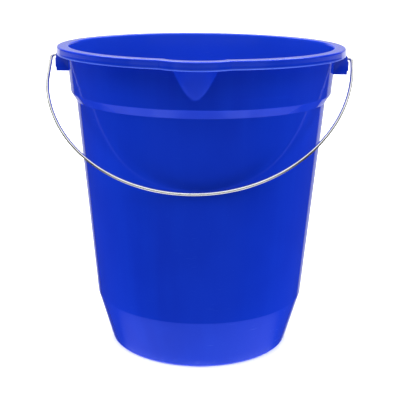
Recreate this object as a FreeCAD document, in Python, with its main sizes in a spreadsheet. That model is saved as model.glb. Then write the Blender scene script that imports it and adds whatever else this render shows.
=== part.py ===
import FreeCAD, Part
import Sketcher
import math
import os

# Feed bucket: a moulded plastic shell and a steel wire bail.
# Frame: origin at the centre of the flat base, +Z up, -Y is the front (the
# spout side), and the bail swings about an axis parallel to X. Millimetres.

SIZES = {
    # outer wall, from the base up: radius and height of each change of slope
    "height": 323.0,
    "base_radius": 97.6,
    "foot_radius": 113.35,
    "foot_height": 54.9,
    "waist_radius": 131.6,
    "waist_height": 267.4,
    "shoulder_radius": 137.25,
    "shoulder_height": 276.1,
    "mouth_radius": 140.65,
    "wall_thickness": 2.2,
    "floor_thickness": 2.8,
    "base_round": 3.0,
    "foot_round": 8.0,
    "waist_round": 3.0,
    "shoulder_round": 2.0,
    "inner_round": 5.0,
    # rim: flat top, hanging skirt and the hollow channel behind it
    "rim_radius": 150.5,
    "rim_drop": 8.6,
    "skirt_thickness": 2.2,
    "skirt_flare": 1.5,
    "flange_thickness": 2.4,
    "rim_round": 1.6,
    "mouth_round": 1.0,
    # spout: an upright cone that breaks out through the wall
    "spout_low_height": 281.0,
    "spout_low_radius": 12.5,
    "spout_low_reach": 123.6,
    "spout_top_radius": 34.8,
    "spout_top_reach": 116.0,
    "spout_overhang": 10.0,
    "spout_blend": 4.0,
    # ears: boxes open below, with a thick outer face that carries the bail
    "ear_root": 132.0,
    "ear_inside": 149.0,
    "ear_reach": 152.2,
    "ear_width": 25.0,
    "ear_web": 2.4,
    "ear_foot_height": 295.0,
    "ear_lead": 0.8,
    "ledge_reach": 154.2,
    "ledge_width": 14.0,
    "ledge_drop": 2.2,
    "ledge_taper": 3.0,
    "ledge_foot_height": 296.0,
    # bail: one bent wire, whose inward ends turn in the ears' bores
    "pivot_height": 310.4,
    "bore_radius": 1.75,
    "wire_radius": 1.7,
    "bail_end": 143.6,
    "bail_bend": 3.5,
    # the hoop hangs a little to the left, so the wire's two sides differ
    "left_reach": 158.9,
    "left_shoulder": 107.0,
    "right_reach": 157.6,
    "right_shoulder": 171.0,
    "hoop_radius": 155.3,
    "hoop_drop": 17.4,
    "hoop_sway": 4.9,
    "wire_round": 0.6,
    "bail_lean": 47.6,
}

SHEET = "Sizes"
OVERRUN = 5.0  # how far a cut runs past the surface that it opens
MATCH = 0.02  # how near an edge must be to count as the one that is asked for

doc = FreeCAD.newDocument("feed_bucket")


# ---------------------------------------------------------------- the sheet

def make_sheet():
    """Put every driving dimension in a spreadsheet cell with an alias."""
    sheet = doc.addObject("Spreadsheet::Sheet", SHEET)
    for row, (name, value) in enumerate(SIZES.items(), start=1):
        sheet.set(f"A{row}", name)
        sheet.set(f"B{row}", str(value))
        sheet.setAlias(f"B{row}", name)
    doc.recompute()


def amount(formula):
    """Value of a sum of sheet names and plain numbers, such as 'height - rim_drop'."""
    total = 0.0
    sign = 1
    for word in formula.split():
        if word in ("+", "-"):
            sign = 1 if word == "+" else -1
        else:
            total += sign * (SIZES[word] if word in SIZES else float(word))
    return total


def negative(formula):
    """The same sum with every sign turned round."""
    swap = {"+": "-", "-": "+"}
    start = "" if formula.startswith("-") else "- "
    return start + " ".join(swap.get(word, word) for word in formula.split()).removeprefix("+ ")


def bind(thing, prop, formula):
    """Tie a property to the same sum of the sheet's cells."""
    names = [f"{SHEET}.{word}" if word in SIZES else word for word in formula.split()]
    thing.setExpression(prop, " ".join(names))


# ------------------------------------------------------------ sketch helpers

def new_body(name):
    body = doc.addObject("PartDesign::Body", name)
    body.Label = name
    return body


def new_sketch(body, name, role, offset="0"):
    """Sketch on one of the body's origin planes, moved along its normal."""
    plane = [f for f in body.Origin.OriginFeatures if f.Role == role][0]
    sketch = body.newObject("Sketcher::SketchObject", name)
    sketch.AttachmentSupport = [(plane, "")]
    sketch.MapMode = "FlatFace"
    bind(sketch, "AttachmentOffset.Base.z", offset)
    doc.recompute()
    return sketch


def pin_across(sketch, geometry, vertex, across):
    """Fix how far across the sketch a point is."""
    if amount(across) == 0.0:
        sketch.addConstraint(Sketcher.Constraint("PointOnObject", geometry, vertex, -2))
    else:
        index = sketch.addConstraint(
            Sketcher.Constraint("DistanceX", -1, 1, geometry, vertex, amount(across)))
        bind(sketch, f"Constraints[{index}]", across)


def pin_up(sketch, geometry, vertex, up):
    """Fix how far up the sketch a point is."""
    if amount(up) == 0.0:
        sketch.addConstraint(Sketcher.Constraint("PointOnObject", geometry, vertex, -1))
    else:
        index = sketch.addConstraint(
            Sketcher.Constraint("DistanceY", -1, 1, geometry, vertex, amount(up)))
        bind(sketch, f"Constraints[{index}]", up)


def pin_point(sketch, geometry, vertex, across, up):
    """Fix a point of the sketch at the two sums across and up."""
    pin_across(sketch, geometry, vertex, across)
    pin_up(sketch, geometry, vertex, up)


def pin_radius(sketch, geometry, radius):
    index = sketch.addConstraint(Sketcher.Constraint("Radius", geometry, amount(radius)))
    bind(sketch, f"Constraints[{index}]", radius)


def add_line(sketch, start, end):
    """Straight line between two points, not yet constrained."""
    line = Part.LineSegment(FreeCAD.Vector(*start, 0), FreeCAD.Vector(*end, 0))
    return sketch.addGeometry(line, False)


def add_polygon(sketch, corners):
    """Closed outline of straight lines through corners given as sums."""
    points = [FreeCAD.Vector(amount(a), amount(u), 0) for a, u in corners]
    first = sketch.GeometryCount
    count = len(points)
    for i in range(count):
        sketch.addGeometry(Part.LineSegment(points[i], points[(i + 1) % count]), False)
    for i in range(count):
        following = first + (i + 1) % count
        sketch.addConstraint(Sketcher.Constraint("Coincident", first + i, 2, following, 1))
        pin_point(sketch, first + i, 1, *corners[i])


def add_circle(sketch, across, up, radius):
    centre = FreeCAD.Vector(amount(across), amount(up), 0)
    circle = Part.Circle(centre, FreeCAD.Vector(0, 0, 1), amount(radius))
    index = sketch.addGeometry(circle, False)
    pin_point(sketch, index, 3, across, up)
    pin_radius(sketch, index, radius)


def add_arc(sketch, centre, radius, start, end):
    """Anticlockwise arc between two angles in degrees, not yet constrained."""
    circle = Part.Circle(FreeCAD.Vector(*centre, 0), FreeCAD.Vector(0, 0, 1), radius)
    arc = Part.ArcOfCircle(circle, math.radians(start), math.radians(end))
    return sketch.addGeometry(arc, False)


def touch(sketch, one, one_end, two, two_end):
    """Join two curves end to end with one tangent."""
    sketch.addConstraint(Sketcher.Constraint("Tangent", one, one_end, two, two_end))


def add_rim_outline(sketch, ring, nose, blend):
    """Ring about the axis with the spout's nose in front, joined by blends.

    ring, nose and blend are sums for the three radii.
    """
    reach = amount("spout_top_reach")
    # Each blend touches the ring and the nose from outside, so its centre is
    # the top of a triangle that stands on the line between their centres.
    to_axis = amount(ring) + amount(blend)
    to_nose = amount(nose) + amount(blend)
    ahead = (to_axis ** 2 - to_nose ** 2 + reach ** 2) / (2 * reach)
    aside = math.sqrt(to_axis ** 2 - ahead ** 2)
    on_ring = math.degrees(math.atan2(ahead, aside))
    on_nose = math.degrees(math.atan2(ahead - reach, aside))
    circle = add_arc(sketch, (0, 0), amount(ring), -on_ring, 180 + on_ring)
    left = add_arc(sketch, (-aside, -ahead), amount(blend), on_nose, on_ring)
    front = add_arc(sketch, (0, -reach), amount(nose), 180 + on_nose, 360 - on_nose)
    right = add_arc(sketch, (aside, -ahead), amount(blend), 180 - on_ring, 180 - on_nose)
    pin_point(sketch, circle, 3, "0", "0")
    pin_point(sketch, front, 3, "0", "- spout_top_reach")
    touch(sketch, circle, 2, left, 2)
    touch(sketch, left, 1, front, 1)
    touch(sketch, front, 2, right, 2)
    touch(sketch, right, 1, circle, 1)
    for index, radius in ((circle, ring), (front, nose), (left, blend), (right, blend)):
        pin_radius(sketch, index, radius)


# ----------------------------------------------------------- feature helpers

def add_feature(body, kind, name, profile, sizes=None, **options):
    """PartDesign feature on a sketch; checks that it changes the volume.

    sizes are properties tied to sums of the sheet's cells.
    """
    before = body.Shape.Volume if body.Tip else 0.0
    feature = body.newObject(f"PartDesign::{kind}", name)
    feature.Profile = profile
    for prop, value in options.items():
        setattr(feature, prop, value)
    for prop, formula in (sizes or {}).items():
        bind(feature, prop, formula)
    profile.Visibility = False
    doc.recompute()
    change = body.Shape.Volume - before
    expected = -1 if kind in ("Pocket", "Groove", "SubtractiveLoft") else 1
    if change * expected < 1.0:
        raise RuntimeError(f"{name} changed the volume by {change:.2f} mm3")
    print(f"{name:18s} volume change {change / 1000:9.3f} cm3")
    return feature


def spin(body, kind, name, profile):
    """Full turn of a sketch about its own vertical axis."""
    return add_feature(body, kind, name, profile,
                       ReferenceAxis=(profile, ["V_Axis"]), Angle=360.0)


def level_edges(body, radius, height):
    """Names of the body's level circular edges of a radius at a height."""
    names = []
    for place, edge in enumerate(body.Shape.Edges, start=1):
        box = edge.BoundBox
        if not isinstance(edge.Curve, Part.Circle):
            continue
        level = max(abs(box.ZMin - amount(height)), abs(box.ZMax - amount(height)))
        if level < MATCH and abs(edge.Curve.Radius - amount(radius)) < MATCH:
            names.append(f"Edge{place}")
    return names


def upright_circles(body, across):
    """Names of the body's edges in the two upright planes at X = +-across."""
    names = []
    for place, edge in enumerate(body.Shape.Edges, start=1):
        box = edge.BoundBox
        off = abs(abs(box.Center.x) - amount(across))
        if box.XLength < MATCH and off < MATCH:
            names.append(f"Edge{place}")
    return names


def round_off(body, name, edges, radius):
    """Fillet on named edges of the body's present shape."""
    if not edges:
        raise RuntimeError(f"{name} found no edge")
    tip = body.Tip
    fillet = body.newObject("PartDesign::Fillet", name)
    fillet.Base = (tip, edges)
    bind(fillet, "Radius", radius)
    doc.recompute()
    return fillet


# ------------------------------------------------------------ bucket shell

def build_rim(body):
    """Flat flange and hanging skirt, both following the spout's nose."""
    block = new_sketch(body, "rim_outline", "XY_Plane", "height")
    add_rim_outline(block, "rim_radius", "spout_top_radius + spout_overhang", "spout_blend")
    add_feature(body, "Pad", "rim_block", block,
                {"Length": "rim_drop", "TaperAngle": "skirt_flare"}, Reversed=True)
    edges = []
    for radius in ("rim_radius", "spout_top_radius + spout_overhang", "spout_blend"):
        edges += level_edges(body, radius, "height")
    round_off(body, "rim_edge", edges, "rim_round")
    under = new_sketch(body, "channel_outline", "XY_Plane", "height - rim_drop")
    add_rim_outline(under, "rim_radius - skirt_thickness",
                    "spout_top_radius + spout_overhang - skirt_thickness",
                    "spout_blend + skirt_thickness")
    add_feature(body, "Pocket", "rim_channel", under,
                {"Length": "rim_drop - flange_thickness"}, Reversed=True)


def both_sides(sketch, corners):
    """The same outline on the right and on the left of the bucket."""
    add_polygon(sketch, corners)
    add_polygon(sketch, [(negative(across), up) for across, up in corners])


def build_ears(body):
    """Two boxes under the rim, each hollow and open below, with a ledge."""
    foot = "ear_foot_height"
    skirt_foot = "height - rim_drop"
    ceiling = "height - flange_thickness"
    block = new_sketch(body, "ear_outline", "XZ_Plane")
    both_sides(block, [("ear_root", foot),
                       ("ear_reach", foot),
                       ("ear_reach", skirt_foot + " - ear_lead"),
                       ("ear_reach - ear_lead", skirt_foot),
                       ("ear_inside", skirt_foot),
                       ("ear_inside", ceiling + " + 1"),
                       ("ear_root", ceiling + " + 1")])
    add_feature(body, "Pad", "ear_block", block, {"Length": "ear_width"}, SideType="Symmetric")
    hollow = new_sketch(body, "ear_hollow_outline", "XZ_Plane")
    both_sides(hollow, [("ear_root", foot),
                        ("ear_inside", foot),
                        ("ear_inside", skirt_foot),
                        ("ear_inside - skirt_thickness", skirt_foot),
                        ("ear_inside - skirt_thickness", ceiling),
                        ("ear_root", ceiling)])
    add_feature(body, "Pocket", "ear_hollow", hollow,
                {"Length": "ear_width - ear_web - ear_web"}, SideType="Symmetric")
    ledge = new_sketch(body, "ledge_outline", "XZ_Plane")
    both_sides(ledge, [("ear_reach - ear_web", "pivot_height - ledge_drop"),
                       ("ledge_reach", "pivot_height - ledge_drop"),
                       ("ledge_reach", "ledge_foot_height + ledge_taper"),
                       ("ear_reach", "ledge_foot_height"),
                       ("ear_reach - ear_web", "ledge_foot_height")])
    add_feature(body, "Pad", "ear_ledge", ledge, {"Length": "ledge_width"}, SideType="Symmetric")


def build_wall(body):
    """Solid of the bucket's outside: tapered wall, shoulder and spout."""
    profile = new_sketch(body, "outside_profile", "XZ_Plane")
    add_polygon(profile, [("0", "0"),
                          ("base_radius", "0"),
                          ("foot_radius", "foot_height"),
                          ("waist_radius", "waist_height"),
                          ("shoulder_radius", "shoulder_height"),
                          ("mouth_radius", "height"),
                          ("0", "height")])
    spin(body, "Revolution", "outside", profile)
    low = new_sketch(body, "spout_low", "XY_Plane", "spout_low_height")
    add_circle(low, "0", "- spout_low_reach", "spout_low_radius")
    top = new_sketch(body, "spout_top", "XY_Plane", "height")
    add_circle(top, "0", "- spout_top_reach", "spout_top_radius")
    add_feature(body, "AdditiveLoft", "spout", low, Sections=[top], Ruled=True)
    for name, radius, height in (("base_edge", "base_radius", "0"),
                                 ("foot_edge", "foot_radius", "foot_height"),
                                 ("waist_edge", "waist_radius", "waist_height"),
                                 ("shoulder_edge", "shoulder_radius", "shoulder_height")):
        size = name.replace("_edge", "_round")
        round_off(body, name, level_edges(body, radius, height), size)


def hollow_out(body):
    """Open the inside, one wall thickness in from the outside."""
    inner = " - wall_thickness"
    profile = new_sketch(body, "inside_profile", "XZ_Plane")
    above = f"height + {OVERRUN}"
    add_polygon(profile, [("0", "floor_thickness"),
                          ("base_radius" + inner, "floor_thickness"),
                          ("foot_radius" + inner, "foot_height"),
                          ("waist_radius" + inner, "waist_height"),
                          ("shoulder_radius" + inner, "shoulder_height"),
                          ("mouth_radius" + inner, "height"),
                          ("mouth_radius" + inner, above),
                          ("0", above)])
    spin(body, "Groove", "inside", profile)
    low = new_sketch(body, "spout_low_inside", "XY_Plane", "spout_low_height")
    add_circle(low, "0", "- spout_low_reach", "spout_low_radius" + inner)
    top = new_sketch(body, "spout_top_inside", "XY_Plane", "height")
    add_circle(top, "0", "- spout_top_reach", "spout_top_radius" + inner)
    add_feature(body, "SubtractiveLoft", "spout_inside", low, Sections=[top], Ruled=True)
    for name, radius, height in (("floor_corner", "base_radius", "floor_thickness"),
                                 ("foot_corner", "foot_radius", "foot_height"),
                                 ("shoulder_corner", "shoulder_radius", "shoulder_height")):
        round_off(body, name, level_edges(body, radius + inner, height), "inner_round")
    edges = level_edges(body, "mouth_radius" + inner, "height")
    edges += level_edges(body, "spout_top_radius" + inner, "height")
    round_off(body, "mouth_edge", edges, "mouth_round")


def bore_ears(body):
    """One level bore through each ear's outer face, on the bail's axis."""
    start = "ear_inside - 1"
    for name, offset in (("right", start), ("left", negative(start))):
        circle = new_sketch(body, f"{name}_bore_circle", "YZ_Plane", offset)
        add_circle(circle, "0", "pivot_height", "bore_radius")
        add_feature(body, "Pocket", f"{name}_bore", circle,
                    {"Length": f"ledge_reach - ear_inside + {OVERRUN}"},
                    Reversed=(name == "right"))


def build_shell():
    body = new_body("bucket_shell")
    build_rim(body)
    build_ears(body)
    build_wall(body)
    hollow_out(body)
    bore_ears(body)
    return body


# ------------------------------------------------------------------- bail

def place_shoulder(side):
    """Centre of one shoulder's arc, and the direction, in degrees, in which
    it meets the hoop.

    The arc starts level with its own centre, where it touches the upright
    arm. Its centre and the hoop's are as far apart as their radii differ.
    """
    radius = amount(f"{side}_shoulder")
    across = amount(f"{side}_reach") - radius
    if side == "left":
        across = -across
    beside = across + amount("hoop_sway")
    wider = amount("hoop_radius") - radius
    below = math.sqrt(wider ** 2 - beside ** 2)
    inside = math.copysign(1, wider)
    centre = (across, -amount("hoop_drop") - inside * below)
    return centre, math.degrees(math.atan2(-below, inside * beside))


def draw_wire(path):
    """Centre line of the wire, anticlockwise from its left end to its right."""
    end, bend = amount("bail_end"), amount("bail_bend")
    left, right = amount("left_reach"), amount("right_reach")
    left_centre, left_meet = place_shoulder("left")
    right_centre, right_meet = place_shoulder("right")
    hoop_centre = (-amount("hoop_sway"), -amount("hoop_drop"))
    chain = [
        add_line(path, (-end, 0), (bend - left, 0)),
        add_arc(path, (bend - left, -bend), bend, 90, 180),
        add_line(path, (-left, -bend), (-left, left_centre[1])),
        add_arc(path, left_centre, amount("left_shoulder"), -180, left_meet),
        add_arc(path, hoop_centre, amount("hoop_radius"), left_meet, right_meet),
        add_arc(path, right_centre, amount("right_shoulder"), right_meet, 0),
        add_line(path, (right, right_centre[1]), (right, -bend)),
        add_arc(path, (right - bend, -bend), bend, 0, 90),
        add_line(path, (right - bend, 0), (end, 0)),
    ]
    for before, after in zip(chain, chain[1:]):
        touch(path, before, 2, after, 1)
    return chain


def build_bail():
    """Wire bail, drawn hanging straight down from its axis, then leant out."""
    body = new_body("bail_handle")
    path = new_sketch(body, "wire_path", "XZ_Plane")
    (left_end, left_bend, left_arm, left_shoulder, hoop,
     right_shoulder, right_arm, right_bend, right_end) = draw_wire(path)
    pin_point(path, left_end, 1, "- bail_end", "0")
    pin_point(path, right_end, 2, "bail_end", "0")
    pin_across(path, left_arm, 1, "- left_reach")
    pin_across(path, right_arm, 2, "right_reach")
    pin_point(path, hoop, 3, "- hoop_sway", "- hoop_drop")
    for index, direction in ((left_end, "Horizontal"), (right_end, "Horizontal"),
                             (left_arm, "Vertical"), (right_arm, "Vertical")):
        path.addConstraint(Sketcher.Constraint(direction, index))
    for index, radius in ((left_bend, "bail_bend"), (right_bend, "bail_bend"),
                          (left_shoulder, "left_shoulder"),
                          (right_shoulder, "right_shoulder"), (hoop, "hoop_radius")):
        pin_radius(path, index, radius)
    section = new_sketch(body, "wire_section", "YZ_Plane", "- bail_end")
    add_circle(section, "0", "0", "wire_radius")
    add_feature(body, "AdditivePipe", "wire", section, Spine=(path, []))
    round_off(body, "wire_ends", upright_circles(body, "bail_end"), "wire_round")
    bind(body, "Placement.Base.z", "pivot_height")
    body.setExpression("Placement.Rotation.Angle", f"-{SHEET}.bail_lean")
    bind(body, "Placement.Rotation.Axis.x", "1")
    bind(body, "Placement.Rotation.Axis.z", "0")
    return body


# ------------------------------------------------------------ check, export

def check_document():
    """Stop if any object failed: a recompute doesn't raise by itself."""
    for thing in doc.Objects:
        if "Invalid" in thing.State or "Error" in thing.State:
            raise RuntimeError(f"{thing.Name} failed: {thing.State}")


def check_solid(body):
    shape = body.Shape
    if shape.isNull() or not shape.isValid() or len(shape.Solids) != 1:
        raise RuntimeError(f"{body.Label} is not one valid solid")


def main():
    make_sheet()
    bodies = [build_shell(), build_bail()]
    doc.recompute()
    check_document()
    os.makedirs("parts", exist_ok=True)
    for body in bodies:
        check_solid(body)
        body.Shape.exportStep(f"parts/{body.Label}.step")
        box = body.Shape.BoundBox
        print(f"{body.Label}: {body.Shape.Volume / 1000:.1f} cm3, "
              f"X {box.XMin:.1f}..{box.XMax:.1f} Y {box.YMin:.1f}..{box.YMax:.1f} "
              f"Z {box.ZMin:.1f}..{box.ZMax:.1f}")


main()
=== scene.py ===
import math

import bmesh
import bpy
from mathutils import Matrix, Vector


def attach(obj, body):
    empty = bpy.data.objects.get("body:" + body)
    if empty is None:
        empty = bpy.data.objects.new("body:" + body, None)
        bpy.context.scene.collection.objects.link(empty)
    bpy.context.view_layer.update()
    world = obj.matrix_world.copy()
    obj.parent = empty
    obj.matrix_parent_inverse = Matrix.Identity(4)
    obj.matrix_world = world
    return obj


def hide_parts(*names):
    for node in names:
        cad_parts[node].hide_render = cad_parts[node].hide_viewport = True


# Feed bucket: a glossy blue moulded shell and a bright plated wire bail, on a
# pale floor in soft light. Metres, +Z up, the pouring lip is at -Y.

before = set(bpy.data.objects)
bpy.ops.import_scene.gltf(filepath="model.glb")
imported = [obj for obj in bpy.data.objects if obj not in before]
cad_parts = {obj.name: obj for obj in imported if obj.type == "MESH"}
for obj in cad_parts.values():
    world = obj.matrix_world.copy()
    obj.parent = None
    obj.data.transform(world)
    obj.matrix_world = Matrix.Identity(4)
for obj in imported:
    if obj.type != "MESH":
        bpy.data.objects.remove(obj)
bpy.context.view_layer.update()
MM = 0.001

# -------------------------------------------------------- sizes of the shell
HEIGHT = 323.0 * MM
# outer wall: radius, height and rounding of each corner, from the base up
BASE = (97.6 * MM, 0.0, 3.0 * MM)
FOOT = (113.35 * MM, 54.9 * MM, 8.0 * MM)
WAIST = (131.6 * MM, 267.4 * MM, 2.2 * MM)
SHOULDER = (137.25 * MM, 276.1 * MM, 2.2 * MM)
MOUTH_RADIUS = 140.65 * MM
WALL = 2.2 * MM
FLOOR_TOP = 2.8 * MM
FLOOR_ROUND = 5.0 * MM
# how much wider the upper band gets per metre of height
BAND_SLOPE = (MOUTH_RADIUS - SHOULDER[0]) / (HEIGHT - SHOULDER[1])
# radius, height and rounding of the small mark that the moulding gate leaves in
# the middle of the underside
GATE_MARK = [(0.0, 0.9 * MM, 0), (2.2 * MM, 0.9 * MM, 0.3 * MM),
             (2.6 * MM, 1.2 * MM, 0.3 * MM), (7.0 * MM, 1.2 * MM, 0.5 * MM),
             (8.2 * MM, 0.0, 0.5 * MM), (40 * MM, 0.0, 0)]
# radius of the first ring of the underside past the mark, and of the floor
UNDERSIDE_START = 70 * MM
FLOOR_START = 20 * MM
# rim: flat top, hanging skirt with a rounded lower lip, open channel behind;
# the skirt leans outwards on its way down
RIM_RADIUS = 150.5 * MM
RIM_FOOT = HEIGHT - 8.6 * MM
RIM_ROUND = 1.8 * MM
SKIRT = 2.2 * MM
SKIRT_FLARE = math.tan(math.radians(1.5))
LIP_SWELL = 0.35 * MM
# rings beside the lip: share of the skirt's lean, and height above its foot in
# half skirt thicknesses
SKIRT_INNER_RING = (0.6, 1.8)
SKIRT_OUTER_RINGS = [(0.85, 2.0), (0.45, 3.6)]
CEILING = HEIGHT - 2.4 * MM
CORNER_ROUND = 1.0 * MM
MOUTH_ROUND = 1.1 * MM
# spout: a pouch that swells out of the wall, from its tip up to the mouth; the
# taper and the rise are the powers of height by which its width and its swell
# grow, and the fullness is the power that rounds its section
SPOUT_TIP = 285.4 * MM
SPOUT_SWELL = 10.15 * MM
SPOUT_HALF_WIDTH = 24.0 * MM
SPOUT_FLARE, SPOUT_FLARE_START = 5.0 * MM, 313.0 * MM
SPOUT_TAPER = 0.58
SPOUT_RISE = 0.85
SPOUT_FULLNESS = 0.62
SPOUT_SOFTNESS = 0.5 * MM
# nose of the rim round the spout: distance of its centre, radius and blend
NOSE_REACH, NOSE_RADIUS = 116.0 * MM, 44.8 * MM
RIM_SOFTNESS = 1.0 * MM
# ears: boxes open below, with an outer plate, a bore and a ledge
EAR_FOOT = 295.0 * MM
EAR_INSIDE = 149.0 * MM
EAR_REACH = 152.2 * MM
EAR_HALF_WIDTH = 12.5 * MM
EAR_WEB = 2.4 * MM
# slant that leads the outer plate up to the skirt, and how far the ear runs into
# the skirt, the flange and the wall
EAR_LEAD = 0.8 * MM
EAR_OVERLAP = 0.25 * MM
EAR_SINK = 1.0 * MM
EAR_ROOT = 0.3 * MM
# how far the cut that hollows the ear runs past its wall side and its foot, and
# how far it stays below the flange
HOLLOW_PAST_ROOT = 4 * MM
HOLLOW_PAST_FOOT = 5 * MM
HOLLOW_GAP = 0.01 * MM
EAR_ROUND = 0.7 * MM
EAR_ROUND_STEPS = 3
EAR_ROUND_FROM = math.radians(30)
LEDGE_REACH = 154.2 * MM
LEDGE_TOP = 308.2 * MM
LEDGE_FOOT = EAR_FOOT + 4 * MM
LEDGE_ROOT = EAR_FOOT + 1 * MM
LEDGE_OVERLAP = 1 * MM
LEDGE_HALF_WIDTH = 7.0 * MM
BORE_RADIUS = 1.75 * MM
BORE_LENGTH = 20 * MM
# bail: the wire and where its two ends and its bends are
PIVOT_HEIGHT = 310.4 * MM
WIRE_RADIUS = 1.7 * MM
WIRE_END = 143.6 * MM
WIRE_BEND = 3.5 * MM
# reach from the middle, and radius, of each arm's arc
LEFT_REACH, LEFT_SHOULDER = 158.9 * MM, 107.0 * MM
RIGHT_REACH, RIGHT_SHOULDER = 157.6 * MM, 171.0 * MM
# hoop: radius, and how far its centre is below the pivot and to the left; then
# how far the hanging bail leans to the front
HOOP_RADIUS, HOOP_DROP, HOOP_SWAY = 155.3 * MM, 17.4 * MM, 4.9 * MM
BAIL_LEAN = math.radians(47.6)
# rounded end of the wire: its length, and where its rings are along it
WIRE_CAP = 0.6 * MM
WIRE_CAP_RINGS = (0.0, 0.45, 0.8)
WIRE_PLACE = "wire_place"

# -------------------------------------------------------- fineness of meshes
# about how far apart the rings are on roundings, and at most on the spout and on
# plain wall, by height
GATE_STEP = 0.3 * MM
OUTSIDE_STEP = 0.6 * MM
INSIDE_STEP = 0.8 * MM
SPOUT_STEP = 1.0 * MM
WALL_STEP = 12 * MM
ROUNDING_LEAST_STEPS = 3
# number of steps round each rounding of the rim, and of rings on its flat top
CHANNEL_STEPS = 4
LIP_STEPS = 8
RIM_STEPS = 8
MOUTH_STEPS = 6
TOP_RINGS = 4
# angles between points round a ring: near the spout, and from there on
SPOUT_TURN, SPOUT_TURN_END = math.radians(0.3), math.radians(22)
PLAIN_TURN = math.radians(1.0)
BORE_SIDES = 48
WIRE_SIDES = 28
WIRE_STEP = 1.5 * MM
WIRE_LEAST_STEPS = 8
# edges that bend by more than this stay sharp
SHELL_SHARP = math.radians(40)
WIRE_SHARP = math.radians(50)

# ------------------------------------------------------------------ surfaces
BLACK = (0, 0, 0, 1)
WHITE = (1, 1, 1, 1)
# blue plastic: its own colours, then rubbed and as a painted highlight, in a reflection, and on
# the inside painted lighter as if lit by light bouncing round in it
BLUE_DEEP = (0.0030, 0.0210, 0.355, 1)
BLUE_LIGHT = (0.0036, 0.0250, 0.400, 1)
BLUE_FLOW = (0.0045, 0.0300, 0.430, 1)
BLUE_WEAR_AND_HIGHLIGHT = (0.060, 0.120, 0.560, 1)
BLUE_SHEEN = (0.22, 0.34, 1.0, 1)
BLUE_INSIDE_PAINTED_LIGHT = (0.0092, 0.0480, 0.525, 1)
# noise: features per metre along each axis, and how much finer detail
CLOUD = ((9, 9, 9), 3.0)
FLOW = ((70, 70, 3), 4.0)
PEEL = ((230, 230, 230), 2.0)
GRAIN = ((1700, 1700, 1700), 3.0)
SCUFF_PATCHES = ((160, 160, 160), 6.0)
# scratches: turn and features per metre of their noise along each axis, and
# features per metre of the noise that says where they show
SCRATCHES = [((0.4, 0.2, 0.0), (60, 60, 2600), 14),
             ((-0.5, 0.3, 0.5), (50, 2400, 2400), 11),
             ((0.9, -0.6, 0.2), (2600, 60, 1800), 17)]
SCRATCH_DETAIL = 1.0
# a mask comes in over a stretch of what it is made from, given as none to most
CLOUDY = (0.3, 0.7)
FLOWING = (0.35, 0.75)
SCUFFED = (0.52, 0.68)
SCRATCHED = (0.735, 0.79)
SCRATCHED_PLACES = (0.48, 0.62)
TURNED_INWARD = (0.0, -0.03)
TURNED_DOWN = (-0.9, -0.99)
# rubbed places: the foot's lower edge, the rim's outer edge and the floor inside,
# by height and radius, with the most that the last two reach
FOOT_RUB = (12 * MM, 0.0)
RIM_RUB = (319.0 * MM, 322.5 * MM)
RIM_RUB_RADIUS = (147.5 * MM, 150.0 * MM)
RIM_RUB_MOST = 0.4
FLOOR_RUB = (60 * MM, 0.0)
FLOOR_RUB_MOST = 0.5
# the skirt's lower lip, painted pale as a highlight line along its edge: its top, its foot and
# its radius
LIP_TOP = (316.3 * MM, 315.4 * MM)
LIP_FOOT = (314.3 * MM, 314.6 * MM)
LIP_RADIUS = (149.0 * MM, 150.0 * MM)
LIP_CLOUDY = (0.3, 0.6)
# share of each other colour that is mixed in
FLOW_TINT = 0.35
INSIDE_PAINTED_LIGHT_SHARE = 0.85
SCRATCH_TINT = 0.35
SCUFF_TINT = 0.15
LIP_HIGHLIGHT_SHARE = (0.4, 0.8)
# roughness from the clouds, what the other masks add to it, and what they add to
# the height of the surface, of which 1 is as much as the bump
CLOUD_ROUGHNESS = (0.028, 0.05)
PLASTIC_ROUGHNESS = {"grain": 0.015, "scratches": 0.22, "scuffs": 0.22,
                     "inside": 0.06, "below": 0.25}
PLASTIC_HEIGHT = {"peel": 0.5, "grain": 0.06, "scratches": -0.12, "scuffs": -0.15, "flow": 0.1}
PLASTIC_BUMP = 0.05 * MM

# bright zinc on the wire
ZINC_DARK = (0.70, 0.70, 0.69, 1)
ZINC_LIGHT = (0.84, 0.84, 0.84, 1)
ZINC_LINE = (0.52, 0.52, 0.50, 1)
ZINC_RUBBED = (0.36, 0.36, 0.35, 1)
# noise: features per unit across the wire (the surface is at 1 from its middle)
# and per metre along it, and how much finer detail
DRAWN = ((9, 9, 6), 5.0)
BLOTCH = ((0.8, 0.8, 90), 3.0)
WIRE_GRAIN = ((3.5, 3.5, 900), 2.0)
WEAR_RINGS = ((0.3, 0.3, 1400), 2.0)
BLOTCHY = (0.35, 0.65)
DRAWN_LINES = (0.52, 0.75)
WORN_RINGS = (0.35, 0.6)
# the ends that turn in the ears, by the distance from the wire's tip
WIRE_ENDS = (28 * MM, 12 * MM)
LINE_TINT = 0.5
DULL_TINT = 0.6
# roughness from the blotches, and what the other masks add to it and to the height
BLOTCH_RANGE, BLOTCH_ROUGHNESS = (0.3, 0.7), (0.07, 0.12)
ZINC_ROUGHNESS = {"drawn": 0.05, "grain": 0.04, "dull": 0.15}
ZINC_HEIGHT = {"drawn": 0.6, "grain": 0.3, "dull": 0.2}
ZINC_BUMP = 0.04 * MM

# --------------------------------------------------------- camera and light
# the camera's place and turn round the bucket, and its lens in millimetres
CAMERA_TURN = math.radians(2.2)
CAMERA_DISTANCE = 0.936
CAMERA_HEIGHT = 0.4127
CAMERA_PITCH = math.radians(15.49)
CAMERA_ROLL = math.radians(0.533)
CAMERA_LENS = 79.24
# floor just below the base, and a white wall far away
FLOOR_HALF = 40.0
FLOOR_GAP = 0.2 * MM
FLOOR_COLOUR = (0.86, 0.86, 0.86, 1)
FLOOR_ROUGHNESS = 0.9
BACKDROP_RADIUS = 39.0
BACKDROP_HEIGHT = 40.0
BACKDROP_SIDES = 64
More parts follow.
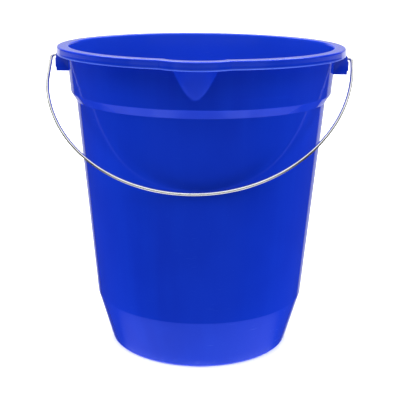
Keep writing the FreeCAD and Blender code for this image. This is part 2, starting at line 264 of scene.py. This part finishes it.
# Brightness of the surroundings as (Z of a direction, level) stops, from straight
# down to straight up. The pole levels count all round. The front and back levels
# are added where the Y of a direction has passed from one edge value to the other.
FRONT_LEVELS = [(-0.22, 0.1), (-0.17, 0.9), (-0.02, 0.9), (0.05, 0.45), (1.0, 0.45)]
FRONT_EDGE = (-0.55, -0.65)
BACK_LEVELS = [(-0.6, 0.2), (-0.4, 0.6), (-0.1, 0.6), (0.1, 0.5), (1.0, 0.5)]
BACK_EDGE = (0.80, 0.84)
POLE_LEVELS = [(-1.0, 0.9), (-0.94, 0.9), (-0.925, 1.9), (-0.89, 1.9), (-0.87, 1.1),
               (-0.83, 1.1), (-0.68, 0.45), (-0.6, 0.05), (-0.12, 0.05), (-0.09, 0.55),
               (-0.03, 0.55), (0.0, 0.05), (0.5, 0.05), (0.7, 1.5), (0.92, 1.5),
               (0.96, 0.75), (1.0, 0.75)]
# sunlight straight down and straight up: name, strength, angle across and tilt
SUNS = [
    ("overhead", 3.8, math.radians(90), 0.0),
    ("underneath", 6.6, math.radians(40), math.pi),
]
# area lights: name, place, target, size, power, and whether gloss shows them
AREA_LIGHTS = [
    ("key_light", (-0.2, -0.7, 1.9), (0, 0, 0.25), (1.5, 0.8), 10, False),
    ("left_light", (-1.45, 0.3, 0.2), (0, 0, 0.2), (0.8, 0.6), 19, False),
    ("right_light", (1.45, 0.3, 0.2), (0, 0, 0.2), (0.8, 0.6), 20, False),
    ("back_light", (0, 1.0, 1.6), (0, 0, 0.3), (1.8, 0.6), 30, True),
    ("below_light", (0, 0, -1.5), (0, 0, 0), (2.2, 2.2), 16, False),
]
# a bright disc of floor close round the foot
GLOW_RADIUS = 0.22
GLOW_DEPTH = 1 * MM
GLOW_POWER = 0.22


# --------------------------------------------------------------- mesh tools

def add_object(name, mesh):
    thing = bpy.data.objects.new(name, mesh)
    bpy.context.scene.collection.objects.link(thing)
    return thing


def new_mesh(name, points, faces):
    mesh = bpy.data.meshes.new(name)
    mesh.from_pydata(points, [], faces)
    return mesh


def quads_to_next(ring, count):
    """Faces between a ring of count points and the ring that comes after it."""
    faces = []
    for i in range(count):
        j = (i + 1) % count
        faces.append((ring * count + i, ring * count + j,
                      (ring + 1) * count + j, (ring + 1) * count + i))
    return faces


def turn_faces_outward(mesh):
    work = bmesh.new()
    work.from_mesh(mesh)
    bmesh.ops.recalc_face_normals(work, faces=work.faces)
    work.to_mesh(mesh)
    work.free()


def prism(name, outline, half_width):
    """Closed outline of (x, z) points, extruded to both sides along Y."""
    count = len(outline)
    points = [(x, side * half_width, z) for side in (-1, 1) for x, z in outline]
    faces = [tuple(range(count)), tuple(range(2 * count - 1, count - 1, -1))]
    for i in range(count):
        j = (i + 1) % count
        faces.append((j, i, count + i, count + j))
    mesh = new_mesh(name, points, faces)
    turn_faces_outward(mesh)
    return add_object(name, mesh)


def cylinder(name, radius, length, sides, place, closed):
    """Round bar or open tube about Z, moved to its place by a matrix."""
    work = bmesh.new()
    bmesh.ops.create_cone(work, cap_ends=closed, segments=sides, radius1=radius,
                          radius2=radius, depth=length)
    bmesh.ops.transform(work, verts=work.verts, matrix=place)
    mesh = bpy.data.meshes.new(name)
    work.to_mesh(mesh)
    work.free()
    return add_object(name, mesh)


def apply_modifiers(thing):
    """Replace an object's mesh by what its modifiers make of it."""
    graph = bpy.context.evaluated_depsgraph_get()
    thing.data = bpy.data.meshes.new_from_object(thing.evaluated_get(graph))
    thing.modifiers.clear()


def boolean(thing, operation, other):
    """Join or cut with another closed object, which is then removed."""
    modifier = thing.modifiers.new(operation, "BOOLEAN")
    modifier.operation = operation
    modifier.solver = "EXACT"
    modifier.object = other
    apply_modifiers(thing)
    bpy.data.objects.remove(other)


# -------------------------------------------------------------------- shell

def round_corners(corners, step):
    """Points along an outline of (radius, height, rounding) corners.

    Each corner becomes an arc, with a point about every step.
    """
    points = [Vector(corners[0][:2])]
    for before, corner, after in zip(corners, corners[1:], corners[2:]):
        here, rounding = Vector(corner[:2]), corner[2]
        back = (Vector(before[:2]) - here).normalized()
        ahead = (Vector(after[:2]) - here).normalized()
        if rounding == 0:
            points.append(here)
            continue
        half = back.angle(ahead) / 2
        centre = here + (back + ahead).normalized() * (rounding / math.sin(half))
        start = here + back * (rounding / math.tan(half)) - centre
        turn = math.pi - 2 * half
        if back.x * ahead.y - back.y * ahead.x > 0:
            turn = -turn
        steps = max(ROUNDING_LEAST_STEPS, round(abs(turn) * rounding / step))
        for i in range(steps + 1):
            a = turn * i / steps
            points.append(centre + Vector((start.x * math.cos(a) - start.y * math.sin(a),
                                           start.x * math.sin(a) + start.y * math.cos(a))))
    points.append(Vector(corners[-1][:2]))
    return points


def refine(points, step, low, high):
    """The same outline with extra points, at most step apart in height, in a
    stretch of heights."""
    fine = [points[0]]
    for one, two in zip(points, points[1:]):
        bottom, top = sorted((one.y, two.y))
        inside = min(top, high) - max(bottom, low)
        pieces = max(1, math.ceil(inside / step)) if inside > 0 else 1
        fine += [one.lerp(two, (i + 1) / pieces) for i in range(pieces)]
    return fine


def soft_max(one, two, softness):
    """The larger of two radii, with a rounded change-over."""
    share = min(1.0, max(0.0, 0.5 + 0.5 * (one - two) / softness))
    return two + (one - two) * share + softness * share * (1 - share)


def circle_reach(azimuth, centre, radius):
    """How far a circle centred in front of the axis reaches at an azimuth."""
    aside = centre * math.sin(azimuth)
    if abs(aside) >= radius or math.cos(azimuth) <= 0:
        return 0.0
    return centre * math.cos(azimuth) + math.sqrt(radius ** 2 - aside ** 2)


def spout_swell(aside, height, wall):
    """How far the pouch stands out of the wall at a distance from its middle."""
    share = (height - SPOUT_TIP) / (HEIGHT - SPOUT_TIP)
    if share <= 0:
        return 0.0
    flare = max(0.0, (height - SPOUT_FLARE_START) / (HEIGHT - SPOUT_FLARE_START))
    width = SPOUT_HALF_WIDTH * share ** SPOUT_TAPER + SPOUT_FLARE * flare ** 2 - wall / 2
    if abs(aside) >= width:
        return 0.0
    return SPOUT_SWELL * share ** SPOUT_RISE * (1 - (aside / width) ** 2) ** SPOUT_FULLNESS


def wall_reach(azimuth, radius, height, wall):
    """How far the wall reaches, given its plain radius and how far inward of the
    outer face it lies."""
    if height <= SPOUT_TIP or math.cos(azimuth) < 0:
        return radius
    swell = spout_swell(radius * math.sin(azimuth), height, wall)
    return radius + soft_max(swell, 0.0, SPOUT_SOFTNESS)


def rim_reach(azimuth):
    """How far the rim's outer edge reaches, with the nose in front."""
    nose = circle_reach(azimuth, NOSE_REACH, NOSE_RADIUS)
    return soft_max(RIM_RADIUS, nose, RIM_SOFTNESS)


def wall_profile(inward):
    """Corners of the wall from the foot up, moved inward."""
    return [(FOOT[0] - inward, FOOT[1], FOOT[2]),
            (WAIST[0] - inward, WAIST[1], WAIST[2]),
            (SHOULDER[0] - inward, SHOULDER[1], SHOULDER[2])]


def mouth_reach(azimuth):
    """How far the mouth reaches, at the top of the inner face."""
    return wall_reach(azimuth, MOUTH_RADIUS - WALL, HEIGHT, WALL)


# A ring of the shell is a pair: its reach as a function of azimuth, and its height.
# Azimuth 0 is the middle of the spout.

def plain_ring(radius, height):
    return (lambda azimuth: radius, height)


def wall_ring(radius, height, wall, outward=0.0):
    return (lambda azimuth: wall_reach(azimuth, radius, height, wall) + outward, height)


def rim_ring(inward, height):
    return (lambda azimuth: rim_reach(azimuth) - inward, height)


def wall_line(corners, step, top):
    """Points along the wall's corners and below top, close together at the spout."""
    line = refine(round_corners(corners, step), SPOUT_STEP, SPOUT_TIP, HEIGHT)
    line = [point for point in line if point.y < top]
    return refine(line, WALL_STEP, 0, SPOUT_TIP)


def outside_rings():
    """From the middle of the underside to the top of the outer wall."""
    mark = round_corners(GATE_MARK, GATE_STEP)
    corners = [(UNDERSIDE_START, 0.0, 0), BASE, *wall_profile(0), (MOUTH_RADIUS, HEIGHT, 0)]
    wall = wall_line(corners, OUTSIDE_STEP, CEILING - CORNER_ROUND)
    return [plain_ring(*point) for point in mark] + [wall_ring(*point, 0.0) for point in wall]


def channel_rings():
    """Under the flange, from the wall across to the skirt."""
    wall_top = MOUTH_RADIUS - (HEIGHT - CEILING) * BAND_SLOPE
    quarter = [math.pi / 2 * i / CHANNEL_STEPS for i in range(CHANNEL_STEPS + 1)]
    rings = []
    for a in quarter:
        height = CEILING - CORNER_ROUND + CORNER_ROUND * math.sin(a)
        rings.append(wall_ring(wall_top, height, 0.0, CORNER_ROUND * (1 - math.cos(a))))
    for a in reversed(quarter):
        height = CEILING - CORNER_ROUND + CORNER_ROUND * math.sin(a)
        rings.append(rim_ring(SKIRT + CORNER_ROUND * (1 - math.cos(a)), height))
    return rings


def skirt_rings():
    """Down the skirt's inner face, round its lip and up to the flat top."""
    half = SKIRT / 2
    lean = (HEIGHT - RIM_FOOT) * SKIRT_FLARE
    share, up = SKIRT_INNER_RING
    rings = [rim_ring(SKIRT - lean * share, RIM_FOOT + up * half)]
    for i in range(LIP_STEPS + 1):
        a = math.pi * i / LIP_STEPS
        swell = LIP_SWELL * math.sin(a / 2) ** 2
        rings.append(rim_ring(half * (1 + math.cos(a)) - lean - swell,
                              RIM_FOOT + half * (1 - math.sin(a))))
    for share, up in SKIRT_OUTER_RINGS:
        rings.append(rim_ring(-lean * share, RIM_FOOT + up * half))
    for i in range(RIM_STEPS + 1):
        a = math.pi / 2 * i / RIM_STEPS
        rings.append(rim_ring(RIM_ROUND * (1 - math.cos(a)),
                              HEIGHT - RIM_ROUND * (1 - math.sin(a))))
    return rings


def top_rings():
    """Across the flat top and round the mouth's edge."""
    def across(share):
        return (lambda azimuth: (rim_reach(azimuth) - RIM_ROUND) * (1 - share)
                + (mouth_reach(azimuth) + MOUTH_ROUND) * share, HEIGHT)

    def rounding(outward, height):
        return (lambda azimuth: mouth_reach(azimuth) + outward, height)

    rings = [across(i / (TOP_RINGS + 1)) for i in range(1, TOP_RINGS + 1)]
    for i in range(MOUTH_STEPS + 1):
        a = math.pi / 2 * i / MOUTH_STEPS
        rings.append(rounding(MOUTH_ROUND * (1 - math.sin(a)),
                              HEIGHT - MOUTH_ROUND * (1 - math.cos(a))))
    return rings


def inside_rings():
    """Down the inner wall and across the floor to its middle."""
    corners = [(FLOOR_START, FLOOR_TOP, 0), (BASE[0] - WALL, FLOOR_TOP, FLOOR_ROUND),
               *wall_profile(WALL), (MOUTH_RADIUS - WALL, HEIGHT, 0)]
    wall = wall_line(corners, INSIDE_STEP, HEIGHT - MOUTH_ROUND)
    rings = [wall_ring(*point, WALL) for point in reversed(wall)]
    return rings + [plain_ring(0.0, FLOOR_TOP)]


def azimuths():
    """Angles from the spout all round, close together near it."""
    angles, angle = [], 0.0
    while angle < 2 * math.pi - PLAIN_TURN / 2:
        angles.append(angle)
        away = min(angle, 2 * math.pi - angle)
        angle += SPOUT_TURN if away < SPOUT_TURN_END else PLAIN_TURN
    return angles


def shell_mesh():
    """Faces from ring to ring, closed by a fan at each end on the axis."""
    rings = outside_rings() + channel_rings() + skirt_rings() + top_rings() + inside_rings()
    angles = azimuths()
    count = len(angles)
    points, faces = [], []
    for reach, height in rings[1:-1]:
        points += [(reach(a) * math.sin(a), -reach(a) * math.cos(a), height) for a in angles]
    for ring in range(len(rings) - 3):
        faces += quads_to_next(ring, count)
    low, high = len(points), len(points) + 1
    points += [(0, 0, rings[0][1]), (0, 0, rings[-1][1])]
    last = (len(rings) - 3) * count
    for i in range(count):
        j = (i + 1) % count
        faces.append((low, j, i))
        faces.append((high, last + i, last + j))
    return new_mesh("bucket_body", points, faces)


def ear(side):
    """One ear at X = side: a box open below, with its ledge and its bore."""
    def plate(name, outline, half_width):
        return prism(name, [(side * x, z) for x, z in outline], half_width)

    top = CEILING + EAR_SINK
    root = SHOULDER[0] - WALL / 2 - EAR_ROOT
    root_low = root + (EAR_FOOT - SHOULDER[1]) * BAND_SLOPE
    root_top = root + (top - SHOULDER[1]) * BAND_SLOPE
    skirt = RIM_FOOT + EAR_OVERLAP
    block = plate("ear", [
        (root_low, EAR_FOOT), (EAR_REACH, EAR_FOOT), (EAR_REACH, RIM_FOOT - EAR_LEAD),
        (EAR_REACH - EAR_LEAD, skirt), (EAR_INSIDE, skirt), (EAR_INSIDE, top),
        (root_top, top)], EAR_HALF_WIDTH)
    hollow_low, hollow_top = EAR_FOOT - HOLLOW_PAST_FOOT, CEILING - HOLLOW_GAP
    hollow_root = root_low - HOLLOW_PAST_ROOT
    hollow = plate("hollow", [
        (hollow_root, hollow_low), (EAR_INSIDE, hollow_low),
        (EAR_INSIDE, hollow_top), (hollow_root, hollow_top)], EAR_HALF_WIDTH - EAR_WEB)
    ledge_root = EAR_REACH - LEDGE_OVERLAP
    ledge = plate("ledge", [
        (ledge_root, LEDGE_TOP), (LEDGE_REACH, LEDGE_TOP), (LEDGE_REACH, LEDGE_FOOT),
        (EAR_REACH, LEDGE_ROOT), (ledge_root, LEDGE_ROOT)], LEDGE_HALF_WIDTH)
    boolean(block, "DIFFERENCE", hollow)
    boolean(block, "UNION", ledge)
    bevel = block.modifiers.new("bevel", "BEVEL")
    bevel.width = EAR_ROUND
    bevel.segments = EAR_ROUND_STEPS
    bevel.limit_method = "ANGLE"
    bevel.angle_limit = EAR_ROUND_FROM
    apply_modifiers(block)
    level = (Matrix.Translation((side * EAR_REACH, 0, PIVOT_HEIGHT))
             @ Matrix.Rotation(math.pi / 2, 4, "Y"))
    bore = cylinder("bore", BORE_RADIUS, BORE_LENGTH, BORE_SIDES, level, True)
    boolean(block, "DIFFERENCE", bore)
    return block


# --------------------------------------------------------------------- wire

def wire_line():
    """Centre line of the wire in its own plane, from its left end: (x, down)."""
    def shoulder(side, reach, radius):
        """Centre of an arm's arc, and the angle at which it meets the hoop."""
        across = side * (reach - radius)
        beside = across + HOOP_SWAY
        inside = math.copysign(1, HOOP_RADIUS - radius)
        below = math.sqrt((HOOP_RADIUS - radius) ** 2 - beside ** 2)
        return (across, HOOP_DROP + inside * below), math.atan2(-below, inside * beside)

    def arc(centre, radius, start, end):
        steps = max(WIRE_LEAST_STEPS, round(abs(end - start) * radius / WIRE_STEP))
        angles = [start + (end - start) * i / steps for i in range(steps + 1)]
        return [(centre[0] + radius * math.cos(a), centre[1] - radius * math.sin(a))
                for a in angles]

    left, left_meet = shoulder(-1, LEFT_REACH, LEFT_SHOULDER)
    right, right_meet = shoulder(1, RIGHT_REACH, RIGHT_SHOULDER)
    line = [(-WIRE_END, 0.0), (-(WIRE_END + LEFT_REACH - WIRE_BEND) / 2, 0.0)]
    line += arc((WIRE_BEND - LEFT_REACH, WIRE_BEND), WIRE_BEND, math.pi / 2, math.pi)
    line += arc(left, LEFT_SHOULDER, -math.pi, left_meet)
    line += arc((-HOOP_SWAY, HOOP_DROP), HOOP_RADIUS, left_meet, right_meet)[1:]
    line += arc(right, RIGHT_SHOULDER, right_meet, 0.0)[1:]
    line += arc((RIGHT_REACH - WIRE_BEND, WIRE_BEND), WIRE_BEND, 0.0, math.pi / 2)
    line += [((WIRE_END + RIGHT_REACH - WIRE_BEND) / 2, 0.0), (WIRE_END, 0.0)]
    return line


def wire_rings(line):
    """Place, direction and radius of each ring of the wire, with rounded ends."""
    rings = []
    for i, point in enumerate(line):
        ahead = (line[min(i + 1, len(line) - 1)] - line[max(i - 1, 0)]).normalized()
        rings.append((point, ahead, WIRE_RADIUS))
    caps = []
    for (point, ahead, radius), sign in ((rings[0], 1), (rings[-1], -1)):
        cap = []
        for share in WIRE_CAP_RINGS:
            sink = WIRE_CAP * (1 - math.sqrt(1 - (1 - share) ** 2))
            cap.append((point + ahead * sign * WIRE_CAP * share, ahead, radius - sink))
        caps.append(cap)
    return caps[0] + rings[1:-1] + caps[1][::-1]


def wire_mesh():
    """Round tube along the centre line.

    Each point also gets its place on the wire, for the plating: where it is
    round the wire, and how far it is from the nearer end.
    """
    lean = Matrix.Translation((0, 0, PIVOT_HEIGHT)) @ Matrix.Rotation(-BAIL_LEAN, 4, "X")
    line = [Vector((x, 0, -down)) for x, down in wire_line()]
    rings = wire_rings(line)
    normal = Vector((0, 1, 0))
    points, faces, places = [], [], []
    travelled, last = 0.0, rings[0][0]
    whole = sum((two - one).length for one, two in zip(line, line[1:]))
    for point, ahead, radius in rings:
        travelled += (point - last).length
        last = point
        across = ahead.cross(normal)
        for k in range(WIRE_SIDES):
            a = 2 * math.pi * k / WIRE_SIDES
            points.append(lean @ (point + (across * math.cos(a) + normal * math.sin(a)) * radius))
            places.append((math.cos(a), math.sin(a), min(travelled, whole - travelled)))
    for ring in range(len(rings) - 1):
        faces += quads_to_next(ring, WIRE_SIDES)
    faces.append(tuple(range(WIRE_SIDES - 1, -1, -1)))
    faces.append(tuple(len(points) - WIRE_SIDES + k for k in range(WIRE_SIDES)))
    mesh = new_mesh("bail_wire", points, faces)
    turn_faces_outward(mesh)
    place = mesh.attributes.new(WIRE_PLACE, "FLOAT_VECTOR", "POINT")
    for item, value in zip(place.data, places):
        item.vector = value
    return mesh


# ---------------------------------------------------------------- materials

def new_material(name):
    material = bpy.data.materials.new(name)
    material.use_nodes = True
    tree = material.node_tree
    return material, tree, tree.nodes["Principled BSDF"]


def feed(tree, socket, value):
    """Link a socket to another one, or set it to a constant."""
    if isinstance(value, bpy.types.NodeSocket):
        tree.links.new(value, socket)
    else:
        socket.default_value = value


def calculate(tree, operation, *values):
    node = tree.nodes.new("ShaderNodeMath")
    node.operation = operation
    for socket, value in zip(node.inputs, values):
        feed(tree, socket, value)
    return node.outputs[0]


def multiply(tree, one, two):
    return calculate(tree, "MULTIPLY", one, two)


def largest(tree, *values):
    most = values[0]
    for value in values[1:]:
        most = calculate(tree, "MAXIMUM", most, value)
    return most


def split(tree, vector):
    """X, Y and Z of a vector."""
    node = tree.nodes.new("ShaderNodeSeparateXYZ")
    feed(tree, node.inputs[0], vector)
    return node.outputs


def spread(tree, value, low, high, at_low=0.0, at_high=1.0):
    """Turn a stretch of values smoothly into another one, held at its ends."""
    node = tree.nodes.new("ShaderNodeMapRange")
    node.interpolation_type = "SMOOTHSTEP"
    for name, number in (("Value", value), ("From Min", low), ("From Max", high),
                         ("To Min", at_low), ("To Max", at_high)):
        feed(tree, node.inputs[name], number)
    return node.outputs["Result"]


def noise(tree, place, stretch, detail=2.0, turn=(0.0, 0.0, 0.0)):
    """Noise from 0 to 1 with this many features per unit along each axis."""
    mapping = tree.nodes.new("ShaderNodeMapping")
    feed(tree, mapping.inputs["Vector"], place)
    mapping.inputs["Rotation"].default_value = turn
    mapping.inputs["Scale"].default_value = stretch
    node = tree.nodes.new("ShaderNodeTexNoise")
    feed(tree, node.inputs["Vector"], mapping.outputs[0])
    node.inputs["Scale"].default_value = 1.0
    node.inputs["Detail"].default_value = detail
    return node.outputs["Fac"]


def tint(tree, share, one, two):
    """Colour between two others."""
    node = tree.nodes.new("ShaderNodeMix")
    node.data_type = "RGBA"
    feed(tree, node.inputs["Factor"], share)
    feed(tree, node.inputs["A"], one)
    feed(tree, node.inputs["B"], two)
    return node.outputs["Result"]


def add_up(tree, *parts, start=0.0):
    """Sum of (value, weight) pairs, on top of a start value."""
    total = start
    for value, weight in parts:
        total = calculate(tree, "MULTIPLY_ADD", value, weight, total)
    return total


def weigh(tree, masks, weights, start=0.0):
    """Sum of named masks, each by its weight, on top of a start value."""
    parts = [(masks[name], weight) for name, weight in weights.items()]
    return add_up(tree, *parts, start=start)


def raise_surface(tree, shader, height, depth):
    """Bump from a height of 0 to 1, which stands for a depth in metres."""
    bump = tree.nodes.new("ShaderNodeBump")
    bump.inputs["Distance"].default_value = depth
    feed(tree, bump.inputs["Height"], height)
    feed(tree, shader.inputs["Normal"], bump.outputs[0])


def scratch_mask(tree, at):
    """Fine scratches in three directions, only here and there."""
    scratches = 0.0
    for turn, stretch, places in SCRATCHES:
        lines = spread(tree, noise(tree, at, stretch, SCRATCH_DETAIL, turn), *SCRATCHED)
        some = spread(tree, noise(tree, at, (places,) * 3, SCRATCH_DETAIL), *SCRATCHED_PLACES)
        scratches = largest(tree, multiply(tree, lines, some), scratches)
    return scratches


def plastic():
    """Glossy moulded blue plastic that has been handled a little, with a painted highlight along
    the skirt's lip and its inside painted lighter.
    """
    material, tree, shader = new_material("blue_plastic")
    place = tree.nodes.new("ShaderNodeTexCoord")
    at = place.outputs["Object"]
    x, y, height = split(tree, at)
    facing_x, facing_y, facing_up = split(tree, place.outputs["Normal"])
    radius = calculate(tree, "SQRT", add_up(tree, (multiply(tree, x, x), 1.0),
                                            (multiply(tree, y, y), 1.0)))
    outward = add_up(tree, (multiply(tree, x, facing_x), 1.0), (multiply(tree, y, facing_y), 1.0))
    inside = spread(tree, outward, *TURNED_INWARD)

    cloud, flow = noise(tree, at, *CLOUD), noise(tree, at, *FLOW)
    rub_rim = multiply(tree, spread(tree, height, *RIM_RUB, 0.0, RIM_RUB_MOST),
                       spread(tree, radius, *RIM_RUB_RADIUS))
    rub_floor = multiply(tree, inside, spread(tree, height, *FLOOR_RUB, 0.0, FLOOR_RUB_MOST))
    rubbed = largest(tree, spread(tree, height, *FOOT_RUB), rub_rim, rub_floor)
    patches = spread(tree, noise(tree, at, *SCUFF_PATCHES), *SCUFFED)
    lip = multiply(tree, spread(tree, height, *LIP_TOP),
                   multiply(tree, spread(tree, height, *LIP_FOOT),
                            spread(tree, radius, *LIP_RADIUS)))
    masks = {"flow": flow, "peel": noise(tree, at, *PEEL), "grain": noise(tree, at, *GRAIN),
             "scratches": scratch_mask(tree, at), "scuffs": multiply(tree, rubbed, patches),
             "inside": inside, "below": spread(tree, facing_up, *TURNED_DOWN)}

    colour = tint(tree, spread(tree, cloud, *CLOUDY), BLUE_DEEP, BLUE_LIGHT)
    for share, other in (
            (spread(tree, flow, *FLOWING, 0.0, FLOW_TINT), BLUE_FLOW),
            # painted light: the inside tinted lighter, standing in for light bouncing round in
            # the bucket
            (multiply(tree, inside, INSIDE_PAINTED_LIGHT_SHARE), BLUE_INSIDE_PAINTED_LIGHT),
            (multiply(tree, masks["scratches"], SCRATCH_TINT), BLUE_WEAR_AND_HIGHLIGHT),
            (multiply(tree, masks["scuffs"], SCUFF_TINT), BLUE_WEAR_AND_HIGHLIGHT),
            # painted highlight: a pale line along the skirt's lower lip
            (multiply(tree, lip, spread(tree, cloud, *LIP_CLOUDY, *LIP_HIGHLIGHT_SHARE)), BLUE_WEAR_AND_HIGHLIGHT)):
        colour = tint(tree, share, colour, other)
    feed(tree, shader.inputs["Base Color"], colour)
    from_clouds = spread(tree, cloud, *CLOUDY, *CLOUD_ROUGHNESS)
    feed(tree, shader.inputs["Roughness"], weigh(tree, masks, PLASTIC_ROUGHNESS, from_clouds))
    raise_surface(tree, shader, weigh(tree, masks, PLASTIC_HEIGHT), PLASTIC_BUMP)
    shader.inputs["Specular Tint"].default_value = BLUE_SHEEN
    return material


def plated():
    """Drawn steel wire with a bright zinc plating, dull where its ends turn."""
    material, tree, shader = new_material("plated_wire")
    on_wire = tree.nodes.new("ShaderNodeAttribute")
    on_wire.attribute_name = WIRE_PLACE
    at = on_wire.outputs["Vector"]
    from_end = split(tree, at)[2]
    drawn, blotch = noise(tree, at, *DRAWN), noise(tree, at, *BLOTCH)
    dull = multiply(tree, spread(tree, from_end, *WIRE_ENDS),
                    spread(tree, noise(tree, at, *WEAR_RINGS), *WORN_RINGS))
    masks = {"drawn": drawn, "grain": noise(tree, at, *WIRE_GRAIN), "dull": dull}
    colour = tint(tree, spread(tree, blotch, *BLOTCHY), ZINC_DARK, ZINC_LIGHT)
    colour = tint(tree, spread(tree, drawn, *DRAWN_LINES, 0.0, LINE_TINT), colour, ZINC_LINE)
    colour = tint(tree, multiply(tree, dull, DULL_TINT), colour, ZINC_RUBBED)
    feed(tree, shader.inputs["Base Color"], colour)
    from_blotches = spread(tree, blotch, *BLOTCH_RANGE, *BLOTCH_ROUGHNESS)
    feed(tree, shader.inputs["Roughness"], weigh(tree, masks, ZINC_ROUGHNESS, from_blotches))
    raise_surface(tree, shader, weigh(tree, masks, ZINC_HEIGHT), ZINC_BUMP)
    shader.inputs["Metallic"].default_value = 1.0
    return material


# -------------------------------------------------------------------- stage

def add_camera():
    camera = add_object("camera", bpy.data.cameras.new("camera"))
    camera.data.lens = CAMERA_LENS
    camera.matrix_world = (
        Matrix.Rotation(CAMERA_TURN, 4, "Z")
        @ Matrix.Translation((0, -CAMERA_DISTANCE, CAMERA_HEIGHT))
        @ Matrix.Rotation(math.pi / 2 - CAMERA_PITCH, 4, "X")
        @ Matrix.Rotation(CAMERA_ROLL, 4, "Z"))
    bpy.context.scene.camera = camera


def add_area(name, place, target, size, power, glossy):
    data = bpy.data.lights.new(name, "AREA")
    data.shape = "RECTANGLE"
    data.size, data.size_y = size
    data.energy = power
    light = add_object(name, data)
    light.location = place
    light.rotation_euler = (Vector(target) - Vector(place)).to_track_quat("-Z", "Y").to_euler()
    light.visible_camera = False
    light.visible_glossy = glossy
    return light


def add_sun(name, strength, across, tilt):
    """Even light from a wide patch, straight down until it is tilted."""
    data = bpy.data.lights.new(name, "SUN")
    data.energy = strength
    data.angle = across
    light = add_object(name, data)
    light.rotation_euler = (tilt, 0, 0)
    light.visible_glossy = False


def grey_ramp(tree, source, stops):
    """Grey level that follows a value between -1 and 1 through its stops."""
    colours = tree.nodes.new("ShaderNodeValToRGB")
    elements = colours.color_ramp.elements
    while len(elements) < len(stops):
        elements.new(0.5)
    for element, (place, level) in zip(elements, stops):
        element.position = (place + 1) / 2
        element.color = (level, level, level, 1)
    feed(tree, colours.inputs["Fac"], calculate(tree, "MULTIPLY_ADD", source, 0.5, 0.5))
    return colours.outputs["Color"]


def add_world():
    """Studio surroundings, as grey levels by the direction they lie in.

    The part below the horizon is what the bucket gets from the floor.
    """
    world = bpy.data.worlds.new("studio")
    bpy.context.scene.world = world
    world.use_nodes = True
    tree = world.node_tree
    place = tree.nodes.new("ShaderNodeTexCoord")
    _, ahead, up = split(tree, place.outputs["Generated"])
    level = grey_ramp(tree, up, POLE_LEVELS)
    for levels, edge in ((FRONT_LEVELS, FRONT_EDGE), (BACK_LEVELS, BACK_EDGE)):
        share = spread(tree, ahead, *edge)
        level = calculate(tree, "MULTIPLY_ADD", grey_ramp(tree, up, levels), share, level)
    background = tree.nodes["Background"]
    feed(tree, background.inputs["Strength"], level)
    background.inputs["Color"].default_value = WHITE


def show_only_to_camera(thing):
    for kind in ("diffuse", "glossy", "shadow"):
        setattr(thing, "visible_" + kind, False)


def add_backdrop():
    """White wall far away all round, which only the camera sees."""
    backdrop = cylinder("backdrop", BACKDROP_RADIUS, 2 * BACKDROP_HEIGHT, BACKDROP_SIDES,
                        Matrix(), False)
    material, _, shader = new_material("backdrop")
    shader.inputs["Base Color"].default_value = BLACK
    shader.inputs["Specular IOR Level"].default_value = 0.0
    shader.inputs["Emission Color"].default_value = WHITE
    shader.inputs["Emission Strength"].default_value = 1.0
    backdrop.data.materials.append(material)
    show_only_to_camera(backdrop)


def add_floor():
    """Pale floor, which only the camera sees: its light is in the world levels."""
    corners = ((-1, -1), (1, -1), (1, 1), (-1, 1))
    mesh = new_mesh("floor", [(x * FLOOR_HALF, y * FLOOR_HALF, -FLOOR_GAP) for x, y in corners],
                    [(0, 1, 2, 3)])
    floor = add_object("floor", mesh)
    material, _, shader = new_material("floor")
    shader.inputs["Base Color"].default_value = FLOOR_COLOUR
    shader.inputs["Roughness"].default_value = FLOOR_ROUGHNESS
    shader.inputs["Specular IOR Level"].default_value = 0.0
    mesh.materials.append(material)
    show_only_to_camera(floor)


def add_stage():
    add_floor()
    add_backdrop()
    add_world()
    for sun in SUNS:
        add_sun(*sun)
    glow = add_area("floor_glow", (0, 0, -GLOW_DEPTH), (0, 0, 1), (2 * GLOW_RADIUS,) * 2,
                    GLOW_POWER, False)
    glow.data.shape = "DISK"
    for light in AREA_LIGHTS:
        add_area(*light)


def finish_surface(thing, sharp_angle, material):
    thing.data.shade_smooth()
    thing.data.set_sharp_from_angle(angle=sharp_angle)
    thing.data.materials.clear()
    thing.data.materials.append(material)


add_camera()
add_stage()
body = add_object("bucket_body", shell_mesh())
for side in (-1, 1):
    boolean(body, "UNION", ear(side))
body.data.name = "bucket_body"
finish_surface(body, SHELL_SHARP, plastic())
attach(body, "shell")
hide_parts("bucket_shell")
wire = add_object("bail_wire", wire_mesh())
finish_surface(wire, WIRE_SHARP, plated())
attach(wire, "bail")
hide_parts("bail_handle")
bpy.context.scene.view_settings.view_transform = "Standard"
